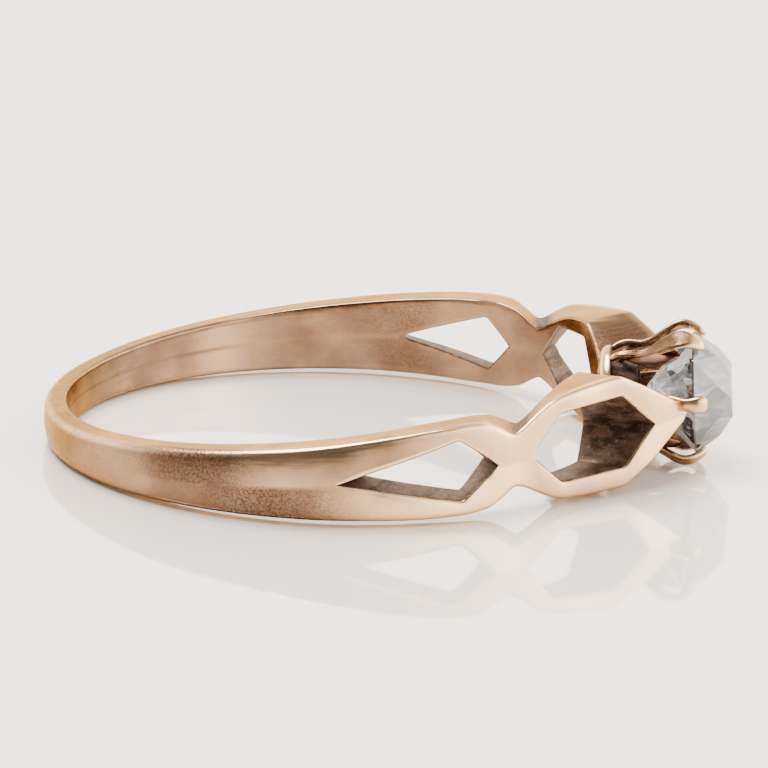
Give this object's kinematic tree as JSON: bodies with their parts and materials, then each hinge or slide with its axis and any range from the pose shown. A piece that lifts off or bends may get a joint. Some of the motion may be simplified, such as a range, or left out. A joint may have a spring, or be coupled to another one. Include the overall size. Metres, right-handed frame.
{
  "type": "engagement ring",
  "caption": "Rose-gold solitaire ring with pierced kite and hexagon shoulders and a round old-cut diamond held in a claw head.",
  "frame": {"origin": "centre of the finger hole, halfway across the width of the band", "axes": "+Z along the axis of the finger hole, +X to the stone, and -Y to the shoulder called near; the ring is mirror-symmetric about y = 0 and about z = 0"},
  "size_m": [0.022, 0.0192, 0.0046],
  "materials": {
    "rose_gold": "polished",
    "dark_gold": "satin",
    "diamond": "polished"
  },
  "bodies": {
    "root": {"shank": "rose_gold", "shoulder_near": "rose_gold", "shoulder_far": "rose_gold", "base_ring": "rose_gold", "inner_tube": "dark_gold", "claw_shoulder_near": "rose_gold", "claw_upper_near": "rose_gold", "claw_upper_far": "rose_gold", "claw_shoulder_far": "rose_gold", "claw_lower_far": "rose_gold", "claw_lower_near": "rose_gold", "leaf_upper_near": "dark_gold", "leaf_upper_far": "dark_gold", "leaf_lower_far": "dark_gold", "leaf_lower_near": "dark_gold", "diamond": "diamond"}
  },
  "joints": []
}
